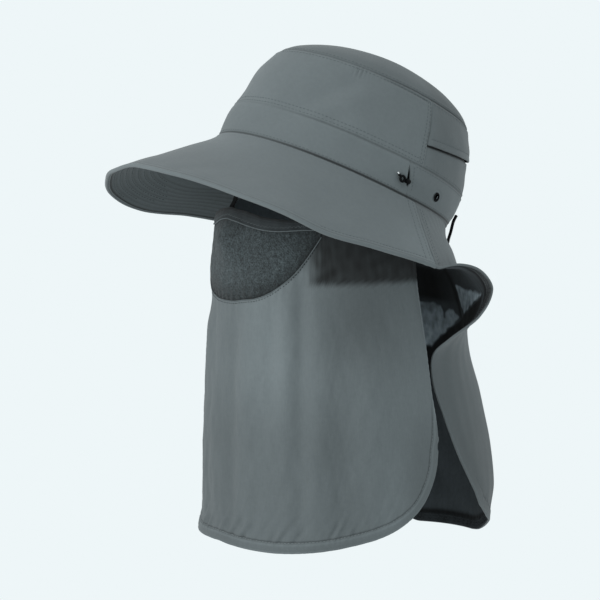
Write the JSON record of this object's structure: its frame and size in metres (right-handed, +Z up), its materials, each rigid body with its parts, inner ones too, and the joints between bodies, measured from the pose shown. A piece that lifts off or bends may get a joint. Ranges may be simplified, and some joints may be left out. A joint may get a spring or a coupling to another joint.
{
  "type": "sun hat with face cover and neck flap",
  "caption": "Cloth sun hat in its worn form, with a stiff brim, a hanging neck flap and a face cover with a knitted mouth patch.",
  "frame": {"origin": "centre of the head opening at the base of the crown, where the hat sits on a head", "axes": "+Z up as worn, -Y the front of the hat, +X the wearer's left; the crown and brim are tipped back 24.3 degrees about X"},
  "size_m": [0.2674, 0.3128, 0.3921],
  "materials": {
    "grey_cloth": "matte woven polyester",
    "under_cloth": "matte dark grey lining side",
    "mesh_knit": "fine dark knit",
    "black_cord": "braided",
    "black_metal": "black enamel"
  },
  "bodies": {
    "root": {"crown_tip": "grey_cloth", "crown_side": "grey_cloth", "crown_back_upper": "grey_cloth", "crown_back_lower": "grey_cloth", "base_band_front": "grey_cloth", "base_band_rear": "grey_cloth", "eyelet_left": "black_metal", "eyelet_right": "black_metal", "brim_top": "grey_cloth", "brim_underside": "under_cloth", "brim_edge": "grey_cloth", "neck_flap": "grey_cloth", "face_cover": "grey_cloth", "mouth_mesh": "mesh_knit", "nose_strip": "under_cloth", "nose_strap": "black_cord", "cord_end_left": "black_cord", "cord_end_right": "black_cord", "rear_drawcord": "black_cord"}
  },
  "joints": []
}
